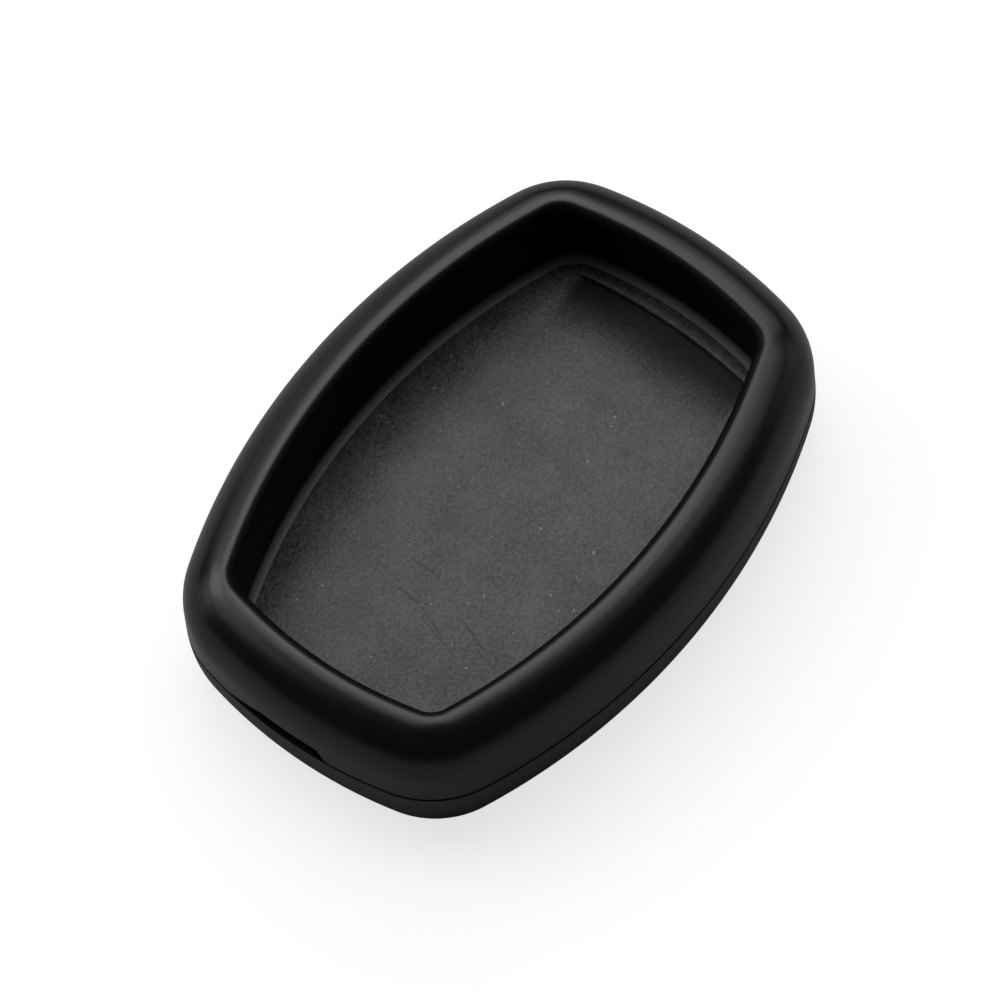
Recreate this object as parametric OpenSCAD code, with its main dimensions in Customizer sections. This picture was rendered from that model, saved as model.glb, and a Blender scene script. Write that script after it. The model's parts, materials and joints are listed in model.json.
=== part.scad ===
/* Key fob cover: a hard case in two halves that closes round a barrel-shaped smart key.
   A domed rim frame with a window lies on a bellied back shell. A black inner tray stands
   in the shell and a grained floor pad lies in the tray. The key lies on the pad and shows
   its face through the window.
   The origin is the centre of the flat underside, +X is the head end, +Z is up. */

/* [Outline] */
// Overall length, head end to tail end
body_l = 70.6; // [66:0.1:80]
// Overall width
body_w = 49.9; // [46:0.1:56]
// Overall height
body_h = 17; // [16.2:0.1:19]
// Radius of the long sides
side_r = 73.5; // [65:0.5:95]
// Radius of the two ends
end_r = 53.5; // [45:0.5:75]
// Radius of the four corners
corner_r = 11.1; // [9.5:0.1:13]

/* [Rim frame] */
// Height of the outer seam above the underside
seam_z = 7.8; // [7:0.1:8.6]
// Width of the rim in plan, outline to window
rim_w = 6.3; // [6:0.1:7]
// Height of the upright part of the side above the seam
upright_h = 2.9; // [1.5:0.1:3.5]
// Distance past the top of the lip at which the dome would level out
crest_over = 0.8; // [0.6:0.1:1.5]
// Wall of the outer skirt
frame_t = 1.5; // [1.2:0.1:1.6]
// Depth of the lip, from the top of the rim down to the inner seam
lip_h = 1.3; // [1.25:0.05:1.6]
// Rounding of the lip round the window
lip_r = 1.1; // [0.8:0.05:1.1]
// Radius of the window's long sides
window_side_r = 70.5; // [65:0.5:95]
// Radius of the window's ends
window_end_r = 49.7; // [45:0.5:75]
// Radius of the window's corners
window_corner_r = 2.6; // [2:0.1:4]

/* [Pry slot] */
// Length of the slot in the frame's lower edge at the tail end
slot_l = 13; // [9:0.1:16]
// Height of the slot
slot_h = 1.7; // [0.8:0.1:2]
// Distance of the slot's middle from the centre line
slot_off = 2; // [-2:0.1:3]
// Length of the steep slope at one end of the slot
slot_ramp = 1; // [0.8:0.1:3]
// Length of the long slope at its other end
slot_taper = 5; // [2:0.1:6]

/* [Back shell] */
// Wall of the back shell
shell_t = 1.6; // [1.2:0.1:1.7]
// Radius of the belly below the seam
belly_r = 16; // [13:0.5:22]
// Radius where the belly turns into the flat underside
foot_r = 2.2; // [1.8:0.1:3]
// Height of the tongue that the frame's skirt slides over
tongue_h = 2.2; // [1.4:0.1:3]
// Wall of the tongue
tongue_t = 1.1; // [0.8:0.1:1.2]
// Depth of the thicker band of wall under the tongue
band_h = 1.6; // [1:0.1:2]
// Thickness of the ribs inside
rib_t = 1; // [0.8:0.1:1.5]

/* [Inner tray] */
// Distance that the tray's ends stand back from the window's edge, under the lip
tray_back = 0.9; // [0.3:0.1:1]
// Wall of the tray
tray_t = 1.2; // [1:0.1:1.3]
// Thickness of the tray's base under the pad
tray_base_t = 1.2; // [0.8:0.1:1.4]
// Radius of the tray's corners at the foot of its wall
foot_corner_r = 5.2; // [4:0.1:6]
// Radius of the cove between the tray's wall and the floor
cove_r = 0.8; // [0.5:0.1:1.2]

/* [Floor pad] */
// Height of the pad's face above the underside
floor_z = 6.2; // [5.6:0.1:6.6]
// Thickness of the pad
pad_t = 1.4; // [1.2:0.1:1.5]
// Distance of the step from the head end of the window
step_in = 1.5; // [1.2:0.1:4]
// Radius of the step, which bows like the head end
step_r = 65; // [50:1:90]
// Width of the stepped recess across the floor
step_w = 21.8; // [16:0.1:22]
// Depth of the recess at the step
step_d = 0.85; // [0.3:0.05:0.9]
// Length over which the recess runs out towards the tail
step_run = 10; // [6:0.5:20]

/* [Hidden] */
// Clearance of the skirt over the tongue, and of the tray's wall in its seat
fit = 0.2;
// Chamfer on both edges of the outer seam, which makes its groove
seam_ch = 0.25;
// Chamfer on both edges of the inner seam
inner_ch = 0.15;
// Distance that the tray's long sides stand back from the window's edge
tray_side_back = 0.05;
// Gap between the tray's top edge and the seat under the lip
seat_gap = 0.08;
// Fall of that seat across its width, as a share of the width
seat_fall_share = 0.35;
// Gap round the pad in its pocket
pad_gap = 0.06;
// Chamfer on the pad's upper edge
pad_ch = 0.1;
// Amount that cuts run past and that joined pieces reach into each other
over = 0.5;
// Chamfer on the tip of the tongue
tip_ch = 0.3;
// Clear space between the tray and the fins that hold it sideways
fin_gap = 0.1;
// Width of the keys on the skirt
key_w = 2.4;
// Clearance on each side of a key in its notch
key_gap = 0.25;
// Distance of the side keys from the middle
key_x = 15;
// Distance of the side fins from the middle
fin_x = 8;
// Distance of the end fins from the centre line
fin_y = 9;
// Distance between the ribs along the shell
rib_pitch = 14;
// Ribs across the shell on each side of the middle one
rib_pairs = 1;
// Distance of the two long ribs from the centre line
rib_y = 8;
// Clear space between the ends of the ribs and the wall of the shell
rib_gap = 0.6;
// Steps in the half of an end
end_steps = 5;
// Steps in a corner
corner_steps = 8;
// Steps in the half of a long side
side_steps = 9;
// Steps in an arc of a section
arc_steps = 6;
// Steps in the dome
dome_steps = 9;
// Steps in the lip's rounding up to its top
rise_steps = 2;
// Steps in the lip's rounding from its top down to the window
lip_steps = 6;
// Steps in the cove
cove_steps = 4;
// Facets that the step's whole circle would have
step_facets = 240;
// Tries in finding where the lip's rounding touches the dome
tries = 6;

window_l = body_l - 2 * rim_w;
window_w = body_w - 2 * rim_w;
shoulder_z = seam_z + upright_h;
belly_z = seam_z - seam_ch;
tongue_in = frame_t + fit;
tongue_back = tongue_in + tongue_t;
pocket_z = floor_z - pad_t;
tray_base_z = pocket_z - tray_base_t;
inner_seam_z = body_h - lip_h;
lip_z = body_h - lip_r;
crest_in = rim_w - lip_r + crest_over;
tray_l = window_l + 2 * tray_back;
tray_w = window_w + 2 * tray_side_back;
tray_side_r = window_side_r + tray_side_back;
tray_end_r = window_end_r + tray_back;
seat_w = tray_back + tray_t + fit;

// The dome is an ellipse, with its slope at an inset from the outline. The rounding of the
// lip touches it at an inset found by trying again from the last one
function slope_of(h, inset) =
    let (k = 1 - inset / crest_in)
    atan(h / crest_in * k / sqrt(1 - k * k));
function touch_of(h, inset, left) =
    left == 0 ? inset : touch_of(h, rim_w - lip_r * (1 + sin(slope_of(h, inset))), left - 1);

// The height of the ellipse at which the top of the lip comes to the overall height
function height_of(h, left) =
    let (touch = touch_of(h, rim_w - lip_r, tries),
         rest = body_h - shoulder_z - lip_r * (1 - cos(slope_of(h, touch))))
    left == 0 ? h : height_of(rest / sqrt(1 - pow(1 - touch / crest_in, 2)), left - 1);
dome_h = height_of(body_h - shoulder_z, tries);
dome_in = touch_of(dome_h, rim_w - lip_r, tries);
dome_turn = slope_of(dome_h, dome_in);
dome_end = acos(1 - dome_in / crest_in);

// Outline of eight arcs that touch: [side centre y, end centre x, corner centre, angle where
// the side meets the corner, angle where the corner meets the end, side, end, corner radius]
function outline(l, w, side, end, corner) =
    let (side_y = w / 2 - side,
         end_x = l / 2 - end,
         apart = norm([end_x, side_y]),
         along = [end_x, -side_y] / apart,
         reach = (pow(side - corner, 2) - pow(end - corner, 2) + apart * apart) / (2 * apart),
         rise = sqrt(pow(side - corner, 2) - reach * reach),
         centre = [0, side_y] + along * reach + [along.y, -along.x] * rise)
    [side_y, end_x, centre, atan2(centre.y - side_y, centre.x),
     atan2(centre.y, centre.x - end_x), side, end, corner];

// Places along an arc from angle a to angle b, each as [point, outward direction]
function places(centre, r, a, b, steps, first) =
    [for (i = [first : steps])
        let (turn = a + (b - a) * i / steps,
             out = [cos(turn), sin(turn)])
        [centre + r * out, out]];

function quarter(o) = concat(
    places([o[1], 0], o[6], 0, o[4], end_steps, 0),
    places(o[2], o[7], o[4], o[3], corner_steps, 1),
    places([0, o[0]], o[5], o[3], 90, side_steps, 1));

// The places all round an outline, from the middle of the head end
function all_but_last(list) = [for (i = [0 : len(list) - 2]) list[i]];
function backwards(list) = [for (i = [len(list) - 1 : -1 : 0]) list[i]];
function flipped(list, sx, sy) = [for (p = list) [[sx * p[0].x, sy * p[0].y], [sx * p[1].x, sy * p[1].y]]];
function all_round(o) =
    let (q = quarter(o),
         half = all_but_last(concat(q, backwards(flipped(all_but_last(q), -1, 1)))))
    concat(half, flipped(half, -1, -1));

outer = outline(body_l, body_w, side_r, end_r, corner_r);
outer_places = all_round(outer);
window_places = all_round(outline(window_l, window_w, window_side_r, window_end_r, window_corner_r));
top_places = all_round(outline(tray_l, tray_w, tray_side_r, tray_end_r, window_corner_r + tray_back));
foot_places = all_round(outline(tray_l, tray_w, tray_side_r, tray_end_r, foot_corner_r));
count = len(outer_places);

// The point that lies x outside a place, at height z
function spot(place, x, z) = [place[0].x + x * place[1].x, place[0].y + x * place[1].y, z];

// A section, as [x, z] points, at every place of an outline
function sections(places, section) = [for (place = places) [for (p = section) spot(place, p.x, p.y)]];

function arc(centre, r, a, b, first = 0) =
    [for (i = [first : arc_steps])
        let (turn = a + (b - a) * i / arc_steps)
        centre + r * [cos(turn), sin(turn)]];

// Skins the sections of all places. A ring's sections are closed. Others begin with the
// edge of a flat bottom and end with the edge of a flat top
module skin(sections, ring = false) {
    n = len(sections[0]);
    polyhedron(
        [for (section = sections, point = section) point],
        concat(
            [for (i = [0 : count - 1], j = [0 : ring ? n - 1 : n - 2])
                let (a = i * n, b = (i + 1) % count * n, k = (j + 1) % n)
                each [[a + j, a + k, b + k], [a + j, b + k, b + j]]],
            ring ? [] : [
                [for (i = [0 : count - 1]) i * n],
                [for (i = [count - 1 : -1 : 0]) i * n + n - 1]]));
}

// Puts its children on a long side, with x = 0 on the outline and x outwards
module on_side(x, flip) {
    mirror([0, flip])
        translate([0, outer[0]])
            rotate(90 - asin(x / side_r))
                translate([side_r, 0])
                    children();
}

// The same on the head end, or with flip on the tail end
module on_end(y, flip) {
    mirror([flip, 0])
        translate([outer[1], 0])
            rotate(asin(y / end_r))
                translate([end_r, 0])
                    children();
}

// A block from one inset to a deeper one, centred across
module block(from, to, w, z0, z1) {
    translate([-to, -w / 2, z0])
        cube([to - from, w, z1 - z0]);
}

// The places of the keys on the frame's skirt and of their notches in the shell's tongue
module at_keys() {
    for (flip = [0, 1], side = [-1, 1])
        on_side(side * key_x, flip)
            children();
    on_end(0, 0)
        children();
}

// Rim frame: dome, outer skirt and lip

// Height of the seat under the lip, at a distance outside the window's edge
function seat_z(x) = inner_seam_z - seat_fall_share * x;

// One section of the frame. The skirt and the dome follow the outline, and the lip follows
// the window. At the corners the rim is narrower, and the dome is drawn in to suit
function frame_section(out, in) =
    let (width = (out[0] - in[0]) * out[1],
         draw_in = (width - rim_w + dome_in) / dome_in,
         roof_h = seat_z(seat_w) - shoulder_z)
    concat(
        [spot(out, -frame_t, seam_z), spot(out, -seam_ch, seam_z), spot(out, 0, seam_z + seam_ch)],
        [for (i = [0 : dome_steps])
            let (t = dome_end * i / dome_steps)
            spot(out, -draw_in * crest_in * (1 - cos(t)), shoulder_z + dome_h * sin(t))],
        [for (t = concat(
                [for (i = [1 : rise_steps]) 90 - dome_turn + dome_turn * i / rise_steps],
                [for (i = [1 : lip_steps]) 90 + 90 * i / lip_steps]))
            spot(in, lip_r + lip_r * cos(t), lip_z + lip_r * sin(t))],
        [spot(in, 0, inner_seam_z + inner_ch),
         spot(in, inner_ch, seat_z(inner_ch))],
        [for (i = [arc_steps : -1 : 0])
            let (t = 90 * i / arc_steps,
                 z = shoulder_z + roof_h * sin(t))
            spot(in, seat_w, z) * (1 - cos(t)) + spot(out, -frame_t, z) * cos(t)]);

module rim_frame() {
    color("#2b2b2c")
        union() {
            difference() {
                skin([for (i = [0 : count - 1]) frame_section(outer_places[i], window_places[i])], true);
                pry_slot();
            }
            at_keys()
                block(frame_t - over, tongue_back, key_w, seam_z + seam_ch, seam_z + tongue_h);
        }
}

module pry_slot() {
    half = slot_l / 2;
    far = half + abs(slot_off);
    bow = end_r - sqrt(end_r * end_r - far * far);
    translate([-body_l / 2 - over, slot_off, seam_z])
        rotate([90, 0, 90])
            linear_extrude(2 * over + frame_t + bow)
                polygon([[-half, -over], [-half, 0], [-half + slot_ramp, slot_h],
                         [half - slot_taper, slot_h], [half, 0], [half, -over]]);
}

// Back shell: belly, flat underside, tongue, ribs and fins

// The belly runs from the seam down to the flat underside, and the wall follows it inside
belly_turn = asin((belly_z - foot_r) / (belly_r - foot_r));
band_turn = asin((band_h + tongue_back - shell_t - seam_ch) / (belly_r - shell_t));
belly_middle = [-belly_r, belly_z];
foot_middle = [-belly_r + (belly_r - foot_r) * cos(belly_turn), foot_r];

shell_section = concat(
    arc(foot_middle, foot_r, -90, -belly_turn),
    arc(belly_middle, belly_r, -belly_turn, 0, 1),
    [[-seam_ch, seam_z],
     [-tongue_in, seam_z],
     [-tongue_in, seam_z + tongue_h - tip_ch],
     [-tongue_in - tip_ch, seam_z + tongue_h],
     [-tongue_back, seam_z + tongue_h],
     [-tongue_back, seam_z - band_h]],
    arc(belly_middle, belly_r - shell_t, -band_turn, -belly_turn),
    arc(foot_middle, foot_r - shell_t, -belly_turn, -90, 1));

module back_shell() {
    color("#323436")
        union() {
            difference() {
                skin(sections(outer_places, shell_section));
                at_keys()
                    block(frame_t - over, tongue_back + over, key_w + 2 * key_gap,
                          seam_z, seam_z + tongue_h + over);
            }
            ribs();
            fins();
        }
}

// Ribs that stand on the bottom and carry the tray's base
module ribs() {
    length = body_l + 2 * (foot_middle.x - rib_gap);
    width = body_w + 2 * (foot_middle.x - rib_gap);
    rib_h = tray_base_z - shell_t + over;
    z = shell_t - over;
    for (i = [-rib_pairs : rib_pairs])
        translate([i * rib_pitch - rib_t / 2, -width / 2, z])
            cube([rib_t, width, rib_h]);
    for (side = [-1, 1])
        translate([-length / 2, side * rib_y - rib_t / 2, z])
            cube([length, rib_t, rib_h]);
}

// Fins on the tongue that hold the tray in the middle
module fins() {
    side_in = (body_w - tray_w) / 2 - tray_t - fin_gap;
    end_in = (body_l - tray_l) / 2 - tray_t - fin_gap;
    for (flip = [0, 1], side = [-1, 1]) {
        on_side(side * fin_x, flip)
            block(tongue_in + tongue_t / 2, side_in, rib_t, seam_z - band_h, seam_z);
        on_end(side * fin_y, flip)
            block(tongue_in + tongue_t / 2, end_in, rib_t, seam_z - band_h, seam_z);
    }
}

// Inner tray: the black wall of the cavity, with a cove at its foot and a pocket for the pad.
// Its top edge fits up against the seat under the lip, and its corners are rounder at the foot

function tray_section(top, foot, window) =
    let (back = (top[0] - window[0]) * window[1],
         outer_z = seat_z(back + tray_t) - seat_gap,
         inner_z = seat_z(back + inner_ch) - seat_gap)
    concat(
        [spot(top, tray_t, tray_base_z), spot(top, tray_t, outer_z)],
        [spot(top, inner_ch, inner_z), spot(top, 0, inner_z - inner_ch)],
        [for (i = [0 : cove_steps])
            let (t = -90 * i / cove_steps)
            spot(foot, cove_r * (cos(t) - 1), floor_z + cove_r * (1 + sin(t)))],
        [spot(foot, -cove_r, pocket_z)]);

module inner_tray() {
    color("#121213")
        skin([for (i = [0 : count - 1]) tray_section(top_places[i], foot_places[i], window_places[i])]);
}

// Floor pad: grained sheet with a stepped recess at the head end

module floor_pad() {
    edge = -cove_r - pad_gap;
    step_x = window_l / 2 - step_in;
    color("#4a4c4f")
        difference() {
            skin(sections(foot_places, [
                [edge, pocket_z],
                [edge, floor_z - pad_ch],
                [edge - pad_ch, floor_z]]));
            intersection() {
                translate([step_x, step_w / 2, floor_z])
                    rotate([90, 0, 0])
                        linear_extrude(step_w)
                            polygon([[0, -step_d], [0, step_d], [-2 * step_run, step_d]]);
                translate([step_x - step_r, 0, floor_z - 2 * step_d])
                    cylinder(h = 4 * step_d, r = step_r, $fn = step_facets);
            }
        }
}

back_shell();
inner_tray();
floor_pad();
rim_frame();
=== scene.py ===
# %% [markdown]
# # A hard cover for a smart key
# The cover is four mouldings: a domed rim frame, a bellied back shell, a black inner tray and a
# grained floor pad. The exact solids are loaded first. They fix every size and the one joint:
# the frame lifts straight off the shell. The pieces built here take their places, with softer
# edges and a real surface.

# %% Load the solids
import json
import math

import bmesh
import bpy
from mathutils import Matrix, Vector


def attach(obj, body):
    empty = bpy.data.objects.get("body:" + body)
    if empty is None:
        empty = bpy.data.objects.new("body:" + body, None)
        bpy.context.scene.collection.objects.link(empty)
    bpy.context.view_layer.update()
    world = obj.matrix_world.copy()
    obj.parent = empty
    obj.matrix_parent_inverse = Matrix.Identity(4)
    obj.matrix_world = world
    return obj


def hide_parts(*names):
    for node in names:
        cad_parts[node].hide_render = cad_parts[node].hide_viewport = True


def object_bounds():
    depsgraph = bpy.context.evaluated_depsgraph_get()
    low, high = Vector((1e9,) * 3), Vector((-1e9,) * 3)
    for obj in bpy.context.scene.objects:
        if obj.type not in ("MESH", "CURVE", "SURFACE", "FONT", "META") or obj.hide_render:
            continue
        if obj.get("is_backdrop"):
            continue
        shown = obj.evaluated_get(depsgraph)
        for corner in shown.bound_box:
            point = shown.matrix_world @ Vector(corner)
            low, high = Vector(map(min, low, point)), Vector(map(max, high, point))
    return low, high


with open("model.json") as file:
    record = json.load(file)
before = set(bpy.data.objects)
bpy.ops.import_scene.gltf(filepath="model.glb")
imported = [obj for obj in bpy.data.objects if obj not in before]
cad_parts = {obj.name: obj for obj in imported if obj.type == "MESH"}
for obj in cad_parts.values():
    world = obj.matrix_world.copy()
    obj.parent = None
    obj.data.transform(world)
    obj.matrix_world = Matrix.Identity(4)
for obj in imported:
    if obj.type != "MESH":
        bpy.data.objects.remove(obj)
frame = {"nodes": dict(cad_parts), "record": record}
solid_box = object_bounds()
print("solids:", ", ".join(sorted(frame["nodes"])))

# %% [markdown]
# ## The barrel outline
# Seen from above, the cover is a barrel: two long sides and two ends that all bulge, and four
# tight corners between them. Each is an arc that touches the next. A bezier curve could trace
# this, but arcs are exact, and a line moved inwards keeps their centres and angles. So a
# section can be spun about each centre in turn, and two mirrors give the whole way round.

# %% Outlines of arcs
MM = 0.001
LENGTH, WIDTH, RIM_W = 70.6, 49.9, 6.3


class Outline:
    """A barrel of eight arcs that touch, in millimetres."""

    def __init__(self, length, width, side, end, corner):
        side_y, end_x = width / 2 - side, length / 2 - end
        apart = math.hypot(end_x, side_y)
        along = Vector((end_x, -side_y)) / apart
        reach = ((side - corner) ** 2 - (end - corner) ** 2 + apart**2) / (2 * apart)
        rise = math.sqrt((side - corner) ** 2 - reach**2)
        self.corner = Vector((0, side_y)) + along * reach + Vector((along.y, -along.x)) * rise
        self.side_y, self.end_x = side_y, end_x
        self.tip, self.radii = length / 2, (end, corner, side)
        self.low = math.atan2(self.corner.y, self.corner.x - end_x)
        self.high = math.atan2(self.corner.y - side_y, self.corner.x)

    def arcs(self, steps):
        """Centre, angle and steps of a quarter's arcs, from the head end round to the side."""
        return zip(
            ((self.end_x, 0), self.corner, (0, self.side_y)),
            (self.low, self.high - self.low, math.pi / 2 - self.high),
            steps,
        )

    def inset(self, x, y):
        """How far inside the outline a point lies."""
        p = Vector((abs(x), abs(y)))
        turn = math.atan2(p.y - self.corner.y, p.x - self.corner.x)
        if turn < self.low:
            return self.radii[0] - (p - Vector((self.end_x, 0))).length
        if turn > self.high:
            return self.radii[2] - (p - Vector((0, self.side_y))).length
        return self.radii[1] - (p - self.corner).length


body = Outline(LENGTH, WIDTH, 73.5, 53.5, 11.1)
window = Outline(LENGTH - 2 * RIM_W, WIDTH - 2 * RIM_W, 70.5, 49.7, 2.6)
tray_plan = (window.tip * 2 + 1.8, 37.4, 70.55, 50.6)
tray_top, tray_foot = Outline(*tray_plan, 3.5), Outline(*tray_plan, 5.2)
print(f"window {2 * window.tip:.1f} mm long in a rim {RIM_W} mm wide")

# %% Spin a section round an outline
STEPS = (30, 22, 30)


def arc(centre, radius, start, end, steps, first=0):
    """Points of an arc in a section, from one angle to another in degrees."""
    turns = [math.radians(start + (end - start) * i / steps) for i in range(first, steps + 1)]
    return [(centre[0] + radius * math.cos(t), centre[1] + radius * math.sin(t)) for t in turns]


def sweep(into, outline, section):
    """Adds a section, as (distance outside the outline, height), spun all round the outline."""
    bm = bmesh.new()
    row = [bm.verts.new(((outline.tip + x) * MM, 0, z * MM)) for x, z in section]
    last = row + [bm.edges.new(pair) for pair in zip(row, row[1:])]
    for centre, angle, steps in outline.arcs(STEPS):
        centre = (centre[0] * MM, centre[1] * MM, 0)
        spun = bmesh.ops.spin(bm, geom=last, cent=centre, axis=(0, 0, 1), angle=angle, steps=steps)
        last = spun["geom_last"]
    for axis in "XY":
        everything = bm.verts[:] + bm.edges[:] + bm.faces[:]
        bmesh.ops.mirror(bm, geom=everything, matrix=Matrix(), merge_dist=1e-7, axis=axis)
    mesh = bpy.data.meshes.new("swept")
    bm.to_mesh(mesh)
    bm.free()
    into.from_mesh(mesh)
    bpy.data.meshes.remove(mesh)


def open_edges(bm, low, high):
    """The edges of open rims that lie between two heights."""
    rims = [e for e in bm.edges if e.is_boundary]
    return [e for e in rims if all(low < v.co.z / MM < high for v in e.verts)]


def cap(bm, low, high):
    """Closes the open rim between two heights by one face."""
    bmesh.ops.contextual_create(bm, geom=open_edges(bm, low, high))


def bridge(bm, edges, cuts):
    """Joins two open rims by a band of faces, cut into strips, and returns the new vertices."""
    band = bmesh.ops.bridge_loops(bm, edges=edges)
    rims, sides = set(edges), dict.fromkeys(e for f in band["faces"] for e in f.edges)
    across = [e for e in sides if e not in rims]
    cut = bmesh.ops.subdivide_edges(bm, edges=across, cuts=cuts, use_grid_fill=True)
    return [g for g in cut["geom_inner"] if isinstance(g, bmesh.types.BMVert)]


# %% [markdown]
# ## Pieces that take a solid's place
# Each finished mesh becomes one object at the origin, with its place in its vertices. It hides
# the solid that it stands for and moves with that solid's body. Its finish is put on later.
# Small blocks, such as keys and ribs, are bevelled cubes stood at their places.

# %% Finish a piece


def piece(name, bm, node, sharp=32):
    """Makes a mesh one smooth object that takes a solid's place."""
    bmesh.ops.remove_doubles(bm, verts=bm.verts, dist=1e-6)
    bmesh.ops.recalc_face_normals(bm, faces=bm.faces)
    for face in bm.faces:
        face.smooth = True
    closed = all(e.is_manifold for e in bm.edges)
    mesh = bpy.data.meshes.new(name)
    bm.to_mesh(mesh)
    bm.free()
    mesh.set_sharp_from_angle(angle=math.radians(sharp))
    made = bpy.data.objects.new(name, mesh)
    bpy.context.scene.collection.objects.link(made)
    rides = next(b for b, nodes in frame["record"]["behaviour"]["bodies"].items() if node in nodes)
    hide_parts(node)
    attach(made, rides)
    print(f"{name}: {len(mesh.polygons)} faces, closed {closed}, rides on {rides}")
    return made


# %% Blocks on the outline
BLOCK_EDGE = 0.12


def bevel(bm, edges, width):
    """Rounds edges by a width in millimetres."""
    rule = {"affect": "EDGES", "segments": 3, "profile": 0.5, "material": -1}
    bmesh.ops.bevel(bm, geom=edges, offset=width * MM, **rule)


def block(bm, size, middle, turn=Matrix()):
    """Adds a bevelled block of a size in millimetres, stood by a middle and then a turn."""
    scale = Matrix.Diagonal((*(Vector(size) * MM), 1))
    place = turn @ Matrix.Translation(Vector(middle) * MM) @ scale
    made = bmesh.ops.create_cube(bm, size=1, matrix=place)["verts"]
    edges = dict.fromkeys(e for v in made for e in v.link_edges)
    bevel(bm, list(edges), BLOCK_EDGE)


def on_arc(centre, radius, turn):
    """Turns a block so that its x runs outwards from a place on one of the body's arcs."""
    place = Matrix.Translation(Vector((*centre, 0)) * MM)
    outwards = Matrix.Translation((radius * MM, 0, 0))
    return place @ Matrix.Rotation(turn, 4, "Z") @ outwards


def on_side(x, sign):
    """A place on a long side, the +Y one or with a sign of -1 the other."""
    turn = math.pi / 2 - math.asin(x / body.radii[2])
    return Matrix.Diagonal((1, sign, 1, 1)) @ on_arc((0, body.side_y), body.radii[2], turn)


def on_end(y, sign):
    """A place on the head end, or with a sign of -1 on the tail end."""
    turn = math.asin(y / body.radii[0])
    return Matrix.Diagonal((sign, 1, 1, 1)) @ on_arc((body.end_x, 0), body.radii[0], turn)


def cut(bm, faces, place, across):
    """Cuts these faces by an upright plane."""
    geom = dict.fromkeys(g for f in faces for g in (f, *f.edges, *f.verts))
    bmesh.ops.bisect_plane(bm, geom=list(geom), dist=1e-8, plane_co=place, plane_no=across)


KEY_X = 15
key_places = [on_side(x, sign) for x in (-KEY_X, KEY_X) for sign in (-1, 1)] + [on_end(0, 1)]
spots = [[round(c / MM, 1) for c in p.translation[:2]] for p in key_places]
print(len(key_places), "keys at", spots)

# %% [markdown]
# ## The rim frame
# The frame is one soft, rounded moulding. Its skirt stands upright over the seam, then the wall
# rolls over in an ellipse and turns down into the window in a small, tight lip. That lip is what
# catches the light all the way round, so it gets many steps. The outside follows the body's
# outline and the lip follows the window's, whose corners are tighter. They are spun apart, then
# bridged, and the bridge is pushed out onto the dome. At the corners the rim is narrower, so the
# dome is drawn in there and its crest keeps one height all the way round.

# %% Heights of the rim
SEAM_Z, SHOULDER_Z, TOP_Z, INNER_SEAM_Z = 7.8, 10.7, 17.0, 15.7
FRAME_T, LIP_R, SEAT_W, SEAT_FALL = 1.5, 1.1, 2.3, 0.35
CREST_IN = RIM_W - LIP_R + 0.4
TRIES = 6


def slope(height, inset):
    """How steeply a dome of this height falls at an inset, as an angle."""
    k = 1 - inset / CREST_IN
    return math.atan(height / CREST_IN * k / math.sqrt(1 - k * k))


def touch(height):
    """The inset at which the lip's rounding touches a dome of this height."""
    inset = RIM_W - LIP_R
    for _ in range(TRIES):
        inset = RIM_W - LIP_R * (1 + math.sin(slope(height, inset)))
    return inset


dome_h = TOP_Z - SHOULDER_Z
for _ in range(TRIES):
    rest = TOP_Z - SHOULDER_Z - LIP_R * (1 - math.cos(slope(dome_h, touch(dome_h))))
    dome_h = rest / math.sqrt(1 - (1 - touch(dome_h) / CREST_IN) ** 2)
DOME_IN = touch(dome_h)
LIP_TURN = math.degrees(slope(dome_h, DOME_IN))


def dome_z(x, y):
    """Height of the dome over a point, drawn in where the rim is narrower."""
    inset = body.inset(x, y)
    width = inset - window.inset(x, y)
    k = 1 - inset * DOME_IN / (width - RIM_W + DOME_IN) / CREST_IN
    return SHOULDER_Z + dome_h * math.sqrt(max(0, 1 - k * k))


def seat_z(x, y):
    """Height of the seat under the lip, which falls outwards."""
    return INNER_SEAM_Z + SEAT_FALL * window.inset(x, y)


print(f"dome {dome_h:.2f} mm high, turning into the lip at {LIP_TURN:.0f} degrees")

# %% Skirt and dome
DOME_END = 2.4
SEAM_CH = 0.25

rim = bmesh.new()
end_turn = math.degrees(math.acos(1 - DOME_END / CREST_IN))
skirt = [(-FRAME_T, SHOULDER_Z), (-FRAME_T, SEAM_Z + 0.12), (-FRAME_T + 0.12, SEAM_Z)]
skirt += arc((-SEAM_CH, SEAM_Z + SEAM_CH), SEAM_CH, -90, 0, 4)
skirt += [(0, SEAM_Z + 1.2), (0, SEAM_Z + 2.1)]
for i in range(25):
    t = math.radians(end_turn * i / 24)
    skirt.append((-CREST_IN * (1 - math.cos(t)), SHOULDER_Z + dome_h * math.sin(t)))
sweep(rim, body, skirt)
for v in rim.verts:
    if v.co.z > SHOULDER_Z * MM + 1e-5:
        v.co.z = dome_z(v.co.x / MM, v.co.y / MM) * MM

# %% Lip
LIP_CH = 0.15
lip = arc((LIP_R, TOP_Z - LIP_R), LIP_R, 90 - LIP_TURN, 180, 18)
lip += [(0.02, INNER_SEAM_Z + 0.08), (0.06, INNER_SEAM_Z + 0.02), (LIP_CH, INNER_SEAM_Z)]
lip += [(0.9, INNER_SEAM_Z), (SEAT_W, INNER_SEAM_Z)]
lip_start = len(rim.verts)
sweep(rim, window, lip)
rim.verts.ensure_lookup_table()
for v in rim.verts[lip_start:]:
    if abs(v.co.z / MM - INNER_SEAM_Z) < 0.001:
        v.co.z = seat_z(v.co.x / MM, v.co.y / MM) * MM

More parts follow.
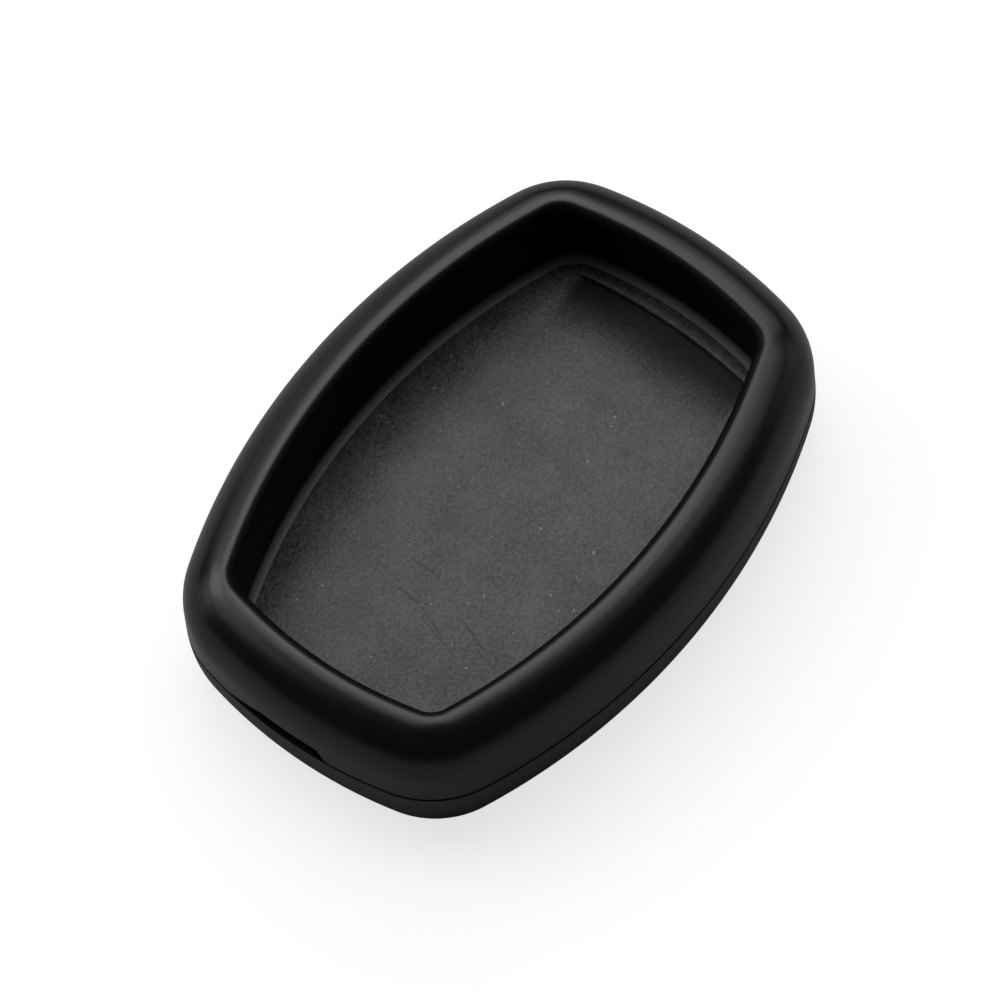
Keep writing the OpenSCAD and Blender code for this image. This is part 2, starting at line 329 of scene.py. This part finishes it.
# %% Join them over the dome and under the roof
for v in bridge(rim, open_edges(rim, INNER_SEAM_Z - 0.5, TOP_Z), 6):
    v.co.z = dome_z(v.co.x / MM, v.co.y / MM) * MM
for v in bridge(rim, open_edges(rim, 0, TOP_Z), 5):
    x, y, z = v.co / MM
    inset, outset = body.inset(x, y), -window.inset(x, y)
    u = (outset - SEAT_W) / (inset + outset - SEAT_W - FRAME_T)
    seat = INNER_SEAM_Z - SEAT_FALL * SEAT_W
    v.co.z = (SHOULDER_Z + (seat - SHOULDER_Z) * math.sqrt(max(0, 1 - u * u))) * MM

# %% [markdown]
# ## The pry slot and the keys
# At the tail the frame's lower edge lifts away from the seam, so that a thumbnail or a coin can
# push the two halves apart. It lifts steeply at one end and in a long slope at the other. A
# boolean would cut it, but would also break the even rows of faces on the skirt. Lifting the
# lowest rows keeps them. Inside, five keys on the skirt sit in notches of the shell's tongue.

# %% Lift the edge at the tail
SLOT_H, SLOT_FROM, SLOT_TO, SLOT_RAMP, SLOT_TAPER = 1.7, -4.5, 8.5, 1.0, 5.0
for v in rim.verts:
    x, y, z = v.co / MM
    if x < 0 and z < SHOULDER_Z - 0.01:
        rise = SLOT_H * max(0, min(1, (y - SLOT_FROM) / SLOT_RAMP, (SLOT_TO - y) / SLOT_TAPER))
        share = (SHOULDER_Z - z) / (SHOULDER_Z - SEAM_Z - SEAM_CH)
        v.co.z += rise * min(1, share) * MM

# %% Keys on the skirt
KEY_W, TONGUE_IN, TONGUE_BACK, TONGUE_H = 2.4, 1.7, 2.8, 2.2
SUNK = 0.5
for place in key_places:
    depth, height = TONGUE_BACK - FRAME_T + SUNK, TONGUE_H - SEAM_CH
    middle = (-TONGUE_BACK + depth / 2, 0, SEAM_Z + SEAM_CH + height / 2)
    block(rim, (depth, KEY_W, height), middle, place)

# %% [markdown]
# ## Painted shade on the lip
# The lip's inner rounding gets painted shade: a duller, darker plastic there. An image or a
# painted mask could say where, but a number on each vertex follows the window exactly: 1 on the
# shaded inside, 0 on the dome, with a short fade between. The rim's finish reads it further down.

# %% Mark the lip's painted shade
LIP_SHADE_FROM, LIP_SHADE_FADE = 0.86, 0.22
lip_shade = rim.verts.layers.float.new("lip_shade")
for v in rim.verts:
    outset = -window.inset(v.co.x / MM, v.co.y / MM)
    v[lip_shade] = max(0, min(1, (LIP_SHADE_FROM + LIP_SHADE_FADE - outset) / LIP_SHADE_FADE))
rim_frame = piece("rim_frame_soft", rim, "rim_frame")

# %% [markdown]
# ## The back shell
# Under the seam the shell bellies in towards a flat underside. Its tongue stands up inside the
# frame's skirt, and is the wall that shows in the pry slot. The whole wall is one section spun
# round. The five notches are cut by planes and pushed down, and the ribs and fins that carry the
# tray are blocks.

# %% Shell section
SHELL_T, BELLY_R, FOOT_R, BAND_H = 1.6, 16, 2.2, 1.6
belly_z = SEAM_Z - SEAM_CH
belly_turn = math.degrees(math.asin((belly_z - FOOT_R) / (BELLY_R - FOOT_R)))
foot = (-BELLY_R + (BELLY_R - FOOT_R) * math.cos(math.radians(belly_turn)), FOOT_R)
band_fall = BAND_H + TONGUE_BACK - SHELL_T - SEAM_CH
band_turn = math.degrees(math.asin(band_fall / (BELLY_R - SHELL_T)))

section = arc(foot, FOOT_R, -90, -belly_turn, 12)
section += arc((-BELLY_R, belly_z), BELLY_R, -belly_turn, 0, 20, first=1)
section += arc((-SEAM_CH, SEAM_Z - SEAM_CH), SEAM_CH, 0, 90, 4, first=1)
section += [(-TONGUE_IN + 0.1, SEAM_Z), (-TONGUE_IN, SEAM_Z + 0.1), (-TONGUE_IN, SEAM_Z + 1.2)]
section += arc((-TONGUE_IN - 0.3, SEAM_Z + TONGUE_H - 0.3), 0.3, 0, 90, 4)
section += [(-TONGUE_BACK + 0.1, SEAM_Z + TONGUE_H), (-TONGUE_BACK, SEAM_Z + TONGUE_H - 0.1)]
section += [(-TONGUE_BACK, SEAM_Z), (-TONGUE_BACK, SEAM_Z - BAND_H)]
section += arc((-BELLY_R, belly_z), BELLY_R - SHELL_T, -band_turn, -belly_turn, 8)
section += arc(foot, FOOT_R - SHELL_T, -belly_turn, -90, 4, first=1)

shell = bmesh.new()
sweep(shell, body, section)
cap(shell, -1, 0.1)
cap(shell, 1, 2)
print(f"shell: {len(section)} points in its section, belly turns {belly_turn:.0f} degrees")

# %% Notches in the tongue
NOTCH_W, NOTCH_DRAFT = 2.9, 0.08
for place in key_places:
    across, middle = place.to_3x3().col[1].normalized(), place.translation
    for half in (-NOTCH_W / 2 - NOTCH_DRAFT, -NOTCH_W / 2, NOTCH_W / 2, NOTCH_W / 2 + NOTCH_DRAFT):
        spots = [(f, f.calc_center_median()) for f in shell.faces]
        near = [f for f, spot in spots if (spot - middle).xy.length < 6 * MM and spot.z > 6 * MM]
        cut(shell, near, middle + across * half * MM, across)
    for v in shell.verts:
        away = v.co - middle
        if abs(away.dot(across)) < (NOTCH_W / 2 + 0.01) * MM and away.xy.length < 4 * MM:
            v.co.z = min(v.co.z, (SEAM_Z + 0.02) * MM)

# %% Ribs and fins
RIB_T, RIB_H, RIB_TOP, RIB_IN, FIN_Z = 1, 2.5, 3.6, 0.6, SEAM_Z - BAND_H / 2
rib_z = RIB_TOP - RIB_H / 2
rib_l, rib_w = ((half + foot[0] - RIB_IN) * 2 for half in (LENGTH / 2, WIDTH / 2))
for x in (-14, 0, 14):
    block(shell, (RIB_T, rib_w, RIB_H), (x, 0, rib_z))
for y in (-8, 8):
    block(shell, (rib_l, RIB_T, RIB_H), (0, y, rib_z))
FIN_FROM = TONGUE_IN + 0.55
for make, along, fin_to in ((on_side, 8, 4.95), (on_end, 9, 4.1)):
    size, middle = (fin_to - FIN_FROM, RIB_T, BAND_H), (-(fin_to + FIN_FROM) / 2, 0, FIN_Z)
    for at in (-along, along):
        for sign in (-1, 1):
            block(shell, size, middle, make(at, sign))
back_shell = piece("back_shell_soft", shell, "back_shell")

# %% [markdown]
# ## The inner tray
# The cavity's black wall is the inside of a thin tray, which stands on the shell's ribs and
# reaches up under the lip. Only a hairline shows where the two meet. At its foot the wall turns
# into the floor in a glossy little cove, the bright line round the floor, which its finish adds
# to with a painted highlight. The corners are rounder at the foot than at the top, so the two
# halves of the wall follow two outlines and are bridged.

# %% Tray
COVE_R, FLOOR_Z, POCKET_Z, TRAY_T, TRAY_BASE_Z = 0.8, 6.2, 4.8, 1.2, 3.6
SEAT_GAP = 0.08
tray = bmesh.new()
top_edge = INNER_SEAM_Z - SEAT_GAP
wall = [(TRAY_T - 0.3, TRAY_BASE_Z), (TRAY_T - 0.08, TRAY_BASE_Z + 0.08)]
wall += [(TRAY_T, TRAY_BASE_Z + 0.3), (TRAY_T, 9), (TRAY_T, top_edge - 0.1)]
wall += [(TRAY_T - 0.1, top_edge), (0.6, top_edge), (LIP_CH, top_edge)]
wall += [(0.05, top_edge - 0.05), (0, top_edge - LIP_CH), (0, 15), (0, 14)]
sweep(tray, tray_top, wall)
for v in tray.verts:
    x, y, z = v.co / MM
    if z > top_edge - 0.2:
        v.co.z += SEAT_FALL * min(0, window.inset(x, y)) * MM
foot_section = [(0, 9), (0, 8)] + arc((-COVE_R, FLOOR_Z + COVE_R), COVE_R, 0, -90, 12)
foot_section += [(-COVE_R, FLOOR_Z - 0.1), (-COVE_R, POCKET_Z)]
sweep(tray, tray_foot, foot_section)
bridge(tray, open_edges(tray, 8.9, 14.1), 4)
cap(tray, 3, 4)
cap(tray, 4.5, 5)
inner_tray = piece("inner_tray_soft", tray, "inner_tray")

# %% [markdown]
# ## The floor pad
# The floor is a thin grained sheet that lies in a pocket of the tray. Near the head end a step,
# bowed like that end, drops into a shallow recess that runs out again towards the tail. The flat
# face is cut into a grid by planes, the grid's head edge is bowed, and the recess is extruded
# and pushed down, in a curve along its floor and in a soft slope at its +Y side. Everything
# outside it stays flat, so the cuts there don't show.

# %% Pad
PAD_EDGE, PAD_CH = -COVE_R - 0.02, 0.04
pad = bmesh.new()
edge = [(PAD_EDGE - 0.1, POCKET_Z), (PAD_EDGE, POCKET_Z + 0.1), (PAD_EDGE, FLOOR_Z - PAD_CH)]
edge += arc((PAD_EDGE - PAD_CH, FLOOR_Z - PAD_CH), PAD_CH, 0, 90, 3, first=1)
sweep(pad, tray_foot, edge)
cap(pad, 4.7, 4.85)
cap(pad, 6.1, 6.3)
bmesh.ops.recalc_face_normals(pad, faces=pad.faces)

# %% Recess with its step
STEP_X, STEP_RUN, STEP_D, STEP_R = 27.5, 10, 0.85, 65
STEP_LEFT, STEP_RIGHT, STEP_SAG, STEP_SIDE = 10.9, -12.2, 1.7, 1.1
RECESS_X, NEAR = STEP_X - STEP_RUN, 0.01
CUTS_LONG, CUTS_WIDE = 8, 16


def on_floor(face):
    """Whether a face is part of the flat floor."""
    return face.normal.z > 0.99 and abs(face.calc_center_median().z / MM - FLOOR_Z) < 0.01


def in_recess(point):
    """Whether a place lies over the recess."""
    x, y, _ = point / MM
    along = RECESS_X - NEAR < x < STEP_X + NEAR
    return along and STEP_RIGHT - NEAR < y < STEP_LEFT + NEAR


cuts = [(STEP_X - STEP_RUN * i / CUTS_LONG, (1, 0, 0)) for i in range(CUTS_LONG + 1)]
step_w = STEP_LEFT - STEP_RIGHT
cuts += [(STEP_RIGHT + step_w * i / CUTS_WIDE, (0, 1, 0)) for i in range(CUTS_WIDE + 1)]
cuts.append((STEP_LEFT - STEP_SIDE, (0, 1, 0)))
for at, across in cuts:
    cut(pad, [f for f in pad.faces if on_floor(f)], [c * at * MM for c in across], across)
recess = [f for f in pad.faces if on_floor(f) and in_recess(f.calc_center_median())]
for v in dict.fromkeys(v for f in recess for v in f.verts):
    bow = STEP_R - math.sqrt(STEP_R**2 - (v.co.y / MM) ** 2)
    v.co.x -= bow * (v.co.x - RECESS_X * MM) / STEP_RUN
sunk = bmesh.ops.extrude_face_region(pad, geom=recess)["geom"]
bmesh.ops.delete(pad, geom=recess, context="FACES")
for v in (g for g in sunk if isinstance(g, bmesh.types.BMVert)):
    run = max(0, v.co.x / MM - RECESS_X) / STEP_RUN
    side = max(0, min(1, (STEP_LEFT - v.co.y / MM) / STEP_SIDE))
    v.co.z -= STEP_D * run**STEP_SAG * side * MM
bmesh.ops.remove_doubles(pad, verts=pad.verts, dist=1e-7)
bmesh.ops.recalc_face_normals(pad, faces=pad.faces)

# %% Round the brink of the step
BRINK_R, BRINK_TURN, SLACK = 0.2, 1.2, 0.1
most_bow = STEP_R - math.sqrt(STEP_R**2 - STEP_RIGHT**2)


def on_brink(v):
    """Whether a vertex is on the upper edge of the step."""
    x, y, z = v.co / MM
    at_step = x > STEP_X - most_bow - SLACK and y < STEP_LEFT - SLACK
    return at_step and z > FLOOR_Z - 0.001 and in_recess(v.co)


rims = [e for e in pad.edges if all(on_brink(v) for v in e.verts)]
brink = [e for e in rims if abs(e.calc_face_angle()) > BRINK_TURN]
bevel(pad, brink, BRINK_R)
print(f"recess: {len(recess)} faces, {len(brink)} edges of the step rounded")
floor_pad = piece("floor_pad_soft", pad, "floor_pad", sharp=40)

# %% [markdown]
# ## Shader maths
# A procedural finish is mostly sums on patterns. One small class wraps a socket, so that a sum
# written in Python adds its Math nodes. The other wraps a material: one method makes every other
# node, and short ones name the patterns that the finishes share.

# %% Sockets that can be added and multiplied


class Signal:
    """A socket that can be added, subtracted and multiplied."""

    def __init__(self, finish, socket):
        self.finish, self.socket = finish, socket

    def math(self, operation, first, second):
        return self.finish.node("ShaderNodeMath", {"operation": operation}, {0: first, 1: second})

    def __add__(self, other):
        return self.math("ADD", self, other)

    def __mul__(self, other):
        return self.math("MULTIPLY", self, other)

    def __sub__(self, other):
        return self.math("SUBTRACT", self, other)

    def __rsub__(self, other):
        return self.math("SUBTRACT", other, self)

    def __abs__(self):
        return self.math("ABSOLUTE", self, 0.0)

    __radd__, __rmul__ = __add__, __mul__


class Finish:
    """A material whose nodes are made by one method."""

    def __init__(self, name, **shader):
        self.material = bpy.data.materials.new(name)
        self.material.use_nodes = True
        self.tree = self.material.node_tree
        self.shader = self.tree.nodes["Principled BSDF"]
        self.set(**shader)
        self.place = self.node("ShaderNodeTexCoord", output="Object")

    def node(self, kind, settings=None, inputs=None, output=0):
        """Adds a node of a type, with its settings and its sockets' values or links."""
        made = self.tree.nodes.new(kind)
        for key, value in (settings or {}).items():
            setattr(made, key, value)
        for key, value in (inputs or {}).items():
            if isinstance(value, Signal):
                self.tree.links.new(value.socket, made.inputs[key])
            else:
                made.inputs[key].default_value = value
        return Signal(self, made.outputs[output])

    def set(self, **values):
        """Sets or links the shader's own sockets."""
        for key, value in values.items():
            socket = self.shader.inputs[key.replace("_", " ")]
            if isinstance(value, Signal):
                self.tree.links.new(value.socket, socket)
            else:
                socket.default_value = (*value, 1) if isinstance(value, tuple) else value

    def noise(self, size, detail=2.0, rough=0.5):
        """Noise with blotches of about this size in millimetres."""
        inputs = {"Scale": 1 / (size * MM), "Detail": detail, "Roughness": rough}
        return self.node("ShaderNodeTexNoise", None, {"Vector": self.place, **inputs})

    def between(self, mask, low, high):
        """0 where the mask is at most low, 1 where it is at least high."""
        soft_edge = {"interpolation_type": "SMOOTHSTEP"}
        return self.node("ShaderNodeMapRange", soft_edge, {0: mask, 1: low, 2: high})

    def along(self, axis):
        """The object's own coordinate along an axis, 0 to 2, in metres."""
        return self.node("ShaderNodeSeparateXYZ", None, {0: self.place}, output=axis)

    def mix(self, share, first, second):
        """A mix of two colours."""
        first, second = ((*c, 1) if isinstance(c, tuple) else c for c in (first, second))
        inputs = {0: share, 6: first, 7: second}
        return self.node("ShaderNodeMix", {"data_type": "RGBA"}, inputs, output=2)

    def bump(self, height, distance):
        """A bump from a height, with its depth in millimetres."""
        inputs = {"Height": height, "Distance": distance * MM, "Strength": 1.0}
        return self.node("ShaderNodeBump", None, inputs)

    def blend(self, share, **shader):
        """Lays a second plastic over the first by a share."""
        first, second = self.shader, self.tree.nodes.new("ShaderNodeBsdfPrincipled")
        self.shader = second
        self.set(**shader)
        self.shader = first
        ends = {1: Signal(self, first.outputs[0]), 2: Signal(self, second.outputs[0])}
        both = self.node("ShaderNodeMixShader", None, {0: share, **ends})
        self.tree.links.new(both.socket, self.tree.nodes["Material Output"].inputs["Surface"])

    def wear(self, made):
        """Puts the finish on a piece."""
        made.data.materials.clear()
        made.data.materials.append(self.material)
        print(f"{self.material.name} on {made.name}")


# %% [markdown]
# ## Soft-touch black
# The frame has the even satin of a rubbery paint: very dark, with broad soft highlights, a grain
# too fine to see as bumps and a faint greasy patchiness. The lip's inner rounding gets painted
# shade as a duller, darker plastic, and so does the seam, where dust gathers too. Two materials on
# one mesh would need an edge between them, so a second plastic is mixed in instead, by the lip's
# mark and by the height of the seam.

# %% A dull line along the seam, of dust and painted shade
SEAM_LINE, SEAM_FADE = 0.14, 0.3


def seam_dust_and_shade(finish):
    """1 at the height of the outer seam, 0 a little above and below it."""
    away = abs(finish.along(2) - SEAM_Z * MM)
    return 1 - finish.between(away, SEAM_LINE * MM, SEAM_FADE * MM)


# %% Rim finish
DULL = {"Specular_IOR_Level": 0.08, "Roughness": 0.45, "Base_Color": (0.003, 0.003, 0.003)}
soft = Finish("soft touch black", Specular_IOR_Level=0.5)
patches = soft.noise(9, 3)
greasy = soft.between(patches, 0.35, 0.7)
grain = soft.noise(0.2, 2)
soft.set(
    Roughness=0.21 + 0.03 * patches + 0.03 * grain,
    Base_Color=soft.mix(greasy, (0.0040, 0.0040, 0.0043), (0.0052, 0.0052, 0.0055)),
    Normal=soft.bump(grain, 0.012),
)
# Painted shade: the lip's inner rounding and the seam get a duller, darker plastic.
lip_shade = soft.node("ShaderNodeAttribute", {"attribute_name": "lip_shade"}, output="Fac")
soft.blend(lip_shade + seam_dust_and_shade(soft), **DULL)
soft.wear(rim_frame)

# %% [markdown]
# ## Moulded black
# The shell is unpainted plastic with a fine spark-eroded texture, a little rougher than the rim.
# The dull line of dust and painted shade at the seam runs along its upper edge too.

# %% Shell finish
moulded = Finish("moulded black", Specular_IOR_Level=0.75)
grain = moulded.noise(0.16, 3)
moulded.set(
    Roughness=0.38 + 0.1 * grain,
    Base_Color=moulded.mix(grain, (0.0105, 0.0108, 0.0115), (0.0165, 0.0169, 0.018)),
    Normal=moulded.bump(grain, 0.006),
)
# Dust and painted shade along the seam: a duller, darker plastic is mixed in there.
moulded.blend(seam_dust_and_shade(moulded), **DULL)
moulded.wear(back_shell)

# %% [markdown]
# ## Deep black wall
# The tray's wall is the darkest plastic here and hardly shines. Its cove and its top edge are
# polished by the pad and the frame that rub there, so a clear coat shows only near those two
# heights. The cove is also painted a lighter grey, a painted highlight for its glint. Both
# heights are read from the object's own coordinates.

# %% Tray finish
COVE_FROM, COVE_TO = 6.3, 7.7
EDGE_FROM, EDGE_TO = 15.2, 15.5
deep = Finish("deep black wall", Specular_IOR_Level=0.08, Coat_Roughness=0.4)
height = deep.along(2)
grain = deep.noise(0.25, 2)
# The cove gets a clear coat and a lighter grey. The grey is a painted highlight.
cove = 1 - deep.between(height, COVE_FROM * MM, COVE_TO * MM)
polish = cove * 0.4 + deep.between(height, EDGE_FROM * MM, EDGE_TO * MM) * 0.2
wall_paint = deep.mix(grain, (0.0014, 0.0014, 0.0016), (0.0024, 0.0024, 0.0026))
deep.set(
    Roughness=0.5 + 0.1 * grain,
    Base_Color=deep.mix(cove, wall_paint, (0.11, 0.111, 0.114)),
    Coat_Weight=polish,
    Normal=deep.bump(grain, 0.006),
)
deep.wear(inner_tray)

# %% [markdown]
# ## Grained grey
# The pad is a dark sheet with a fine grain, a few pale and dark dots and some long scratches. Most
# of its grey is no paint but a broad sheen: it mirrors the boxes of light behind the cover, and
# the far walls hide those boxes from the floor at their foot. A paler paint would be as grey
# there as in the middle. So the paint is dark and the surface half rough. The recess gets painted
# shade: its colour darkens the deeper it lies, and dust there also makes it rougher.

# %% A scratch on the floor
ENDS_FROM, ENDS_TO = 0.35, 0.5


def scratch(finish, start, end, width):
    """1 along a line between two places in millimetres, fading at its ends."""
    start, run = Vector(start), Vector(end) - Vector(start)
    x, y = finish.along(0) - start.x * MM, finish.along(1) - start.y * MM
    way, length = run.normalized(), run.length * MM
    along, off = x * way.x + y * way.y, x * way.y - y * way.x
    ends = finish.between(abs(along - length / 2), length * ENDS_FROM, length * ENDS_TO)
    return (1 - finish.between(abs(off), 0, width * MM)) * (1 - ends)


# %% Scratches on the pad
grey = Finish("grained grey", Specular_IOR_Level=0.48)
SCRATCHES = [
    ((-13.9, 3.0), (-14.2, -0.4), 0.09),
    ((-14.2, -0.4), (-16.1, -5.0), 0.13),
    ((-15.3, -1.4), (-16.9, -7.0), 0.11),
    ((-10.5, 3.4), (-10.4, 0.4), 0.10),
    ((-12.9, -4.6), (-14.7, -9.6), 0.10),
]
scratches = sum(scratch(grey, *line) for line in SCRATCHES)
print(len(SCRATCHES), "scratches")

# %% Pad finish
fine = grey.noise(0.16, 2, 0.6)
specks = grey.noise(0.42, 2, 0.7)
clouds = grey.noise(6, 2)
tone = fine * 0.35 + specks * 0.45 + clouds * 0.2
dots = grey.noise(0.6, 1)
paint = grey.mix(grey.between(tone, 0.36, 0.64), (0.004, 0.0042, 0.0046), (0.084, 0.0844, 0.086))
paint = grey.mix(grey.between(dots, 0.75, 0.79), paint, (0.22, 0.22, 0.22))
paint = grey.mix(grey.between(dots, 0.26, 0.22), paint, (0.008, 0.008, 0.008))
height = grey.along(2)
# Painted shade in the recess: the colour darkens the deeper it lies. Dust also makes it rougher
# there.
recess_dust_and_shade = 1 - grey.between(height, (FLOOR_Z - 0.6) * MM, (FLOOR_Z - 0.02) * MM)
paint = grey.mix(recess_dust_and_shade * 0.75, paint, (0.004, 0.004, 0.004))
grey.set(
    Base_Color=grey.mix(scratches * 0.6, paint, (0.01, 0.01, 0.01)),
    Roughness=0.35 + 0.16 * specks + 0.35 * recess_dust_and_shade,
    Normal=grey.bump(fine * 0.3 + specks * 0.7 - scratches * 0.4, 0.07),
)
grey.wear(floor_pad)

# %% [markdown]
# ## The studio
# The photograph is a small product on a white sweep, seen from above one corner with a long
# lens. The floor keeps the cover's soft shadow. More light would make it white but would grey the
# cover, so it glows a little instead, and only to the camera.

# %% Floor
bm = bmesh.new()
bmesh.ops.create_grid(bm, x_segments=1, y_segments=1, size=1.5)
mesh = bpy.data.meshes.new("floor")
bm.to_mesh(mesh)
bm.free()
floor = bpy.data.objects.new("floor", mesh)
bpy.context.scene.collection.objects.link(floor)
floor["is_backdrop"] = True
white = Finish("white sweep", Roughness=0.9, Base_Color=(0.42, 0.42, 0.42), Specular_IOR_Level=0.0)
seen = white.node("ShaderNodeLightPath", output="Is Camera Ray")
glow = white.mix(seen, (0.0, 0.0, 0.0), (0.74, 0.74, 0.74))
white.set(Emission_Color=glow, Emission_Strength=1.0)
white.wear(floor)

# %% [markdown]
# ## Light
# Black satin plastic shows mostly what it mirrors, so the boxes' places shape the picture more
# than their power does. They stand in a wide arch behind the cover, seen from the camera, from
# low on one side over the top to the other. The rim's crest and the lip's edge mirror that arch,
# the near slope mirrors the dark room, and the far wall shades the floor at its foot. Together
# they light a level surface at about three quarters of the strength at which a colour renders
# as written. Each box is given by its azimuth, its elevation and its brightness.

# %% Soft boxes
BOX_SIZE, BOX_AWAY = 0.45, 1.0
BOXES = [
    (45, 60, 0.36),
    (60, 12, 0.36),
    (60, 45, 0.59),
    (90, 60, 0.91),
    (90, 75, 1.01),
    (100, 30, 0.76),
    (115, 45, 1.07),
    (135, 30, 0.94),
    (135, 75, 0.80),
    (140, 45, 1.38),
    (145, 60, 0.64),
    (160, 12, 0.28),
    (165, 45, 0.30),
    (170, 30, 0.25),
    (170, 60, 0.75),
    (180, 75, 0.94),
    (190, 45, 2.03),
    (205, 30, 0.64),
    (210, 12, 0.43),
    (215, 45, 0.65),
]


def towards(azimuth, elevation):
    """The direction from the cover to an azimuth and an elevation in degrees."""
    a, e = math.radians(azimuth), math.radians(elevation)
    return Vector((math.sin(a) * math.cos(e), -math.cos(a) * math.cos(e), math.sin(e)))


for azimuth, elevation, radiance in BOXES:
    away = towards(azimuth, elevation)
    light = bpy.data.lights.new(f"box {azimuth} {elevation}", "AREA")
    light.shape, light.size, light.energy = "SQUARE", BOX_SIZE, radiance * math.pi * BOX_SIZE**2
    box = bpy.data.objects.new(light.name, light)
    bpy.context.scene.collection.objects.link(box)
    facing = away.to_track_quat("Z", "Y").to_matrix().to_4x4()
    box.matrix_world = Matrix.Translation(away * BOX_AWAY) @ facing
print(len(BOXES), "soft boxes")

# %% World
TO_COVER, TO_CAMERA = 0.04, 1.0
world = bpy.data.worlds.new("studio")
bpy.context.scene.world = world
world.use_nodes = True
background = world.node_tree.nodes["Background"]
path = world.node_tree.nodes.new("ShaderNodeLightPath")
strength = world.node_tree.nodes.new("ShaderNodeMix")
strength.inputs[2].default_value, strength.inputs[3].default_value = TO_COVER, TO_CAMERA
world.node_tree.links.new(path.outputs["Is Camera Ray"], strength.inputs[0])
world.node_tree.links.new(strength.outputs[0], background.inputs["Strength"])
background.inputs["Color"].default_value = (1, 1, 1, 1)
print("world: white to the camera, almost dark to the cover")

# %% [markdown]
# ## Camera
# The picture was taken with a long lens from above the corner between the tail and the long
# side, slightly rolled. The camera's axes are worked out from those three angles, and the aim is
# moved off the cover's middle to set it in the frame as in the photograph.

# %% Camera
AZIMUTH, ELEVATION, ROLL, DISTANCE = -45.52, 61.21, math.radians(-7.16), 1500
PIXELS_PER_MM, OFF_CENTRE, AIM_Z = 9.58, (6.14, 37.55), -0.663
back = towards(AZIMUTH, ELEVATION)
level = Vector((-back.y, back.x, 0)).normalized()
upright = back.cross(level)
right = level * math.cos(ROLL) + upright * math.sin(ROLL)
up = upright * math.cos(ROLL) - level * math.sin(ROLL)
aim = Vector((0, 0, AIM_Z)) + (up * OFF_CENTRE[1] - right * OFF_CENTRE[0]) / PIXELS_PER_MM
camera = bpy.data.objects.new("camera", bpy.data.cameras.new("camera"))
bpy.context.scene.collection.objects.link(camera)
facing = Matrix((right, up, back)).transposed().to_4x4()
camera.matrix_world = Matrix.Translation((aim + back * DISTANCE) * MM) @ facing
camera.data.lens, camera.data.sensor_width = 517.3, 36
camera.data.clip_start, camera.data.clip_end = 0.05, 10
bpy.context.scene.camera = camera
bpy.context.scene.view_settings.view_transform = "Standard"
print("camera at", [round(c, 3) for c in camera.location])

# %% Sizes and finish
boxes = [[list(corner) for corner in box] for box in (solid_box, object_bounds())]
print("boxes in mm:", [[[round(c / MM, 2) for c in corner] for corner in box] for box in boxes])
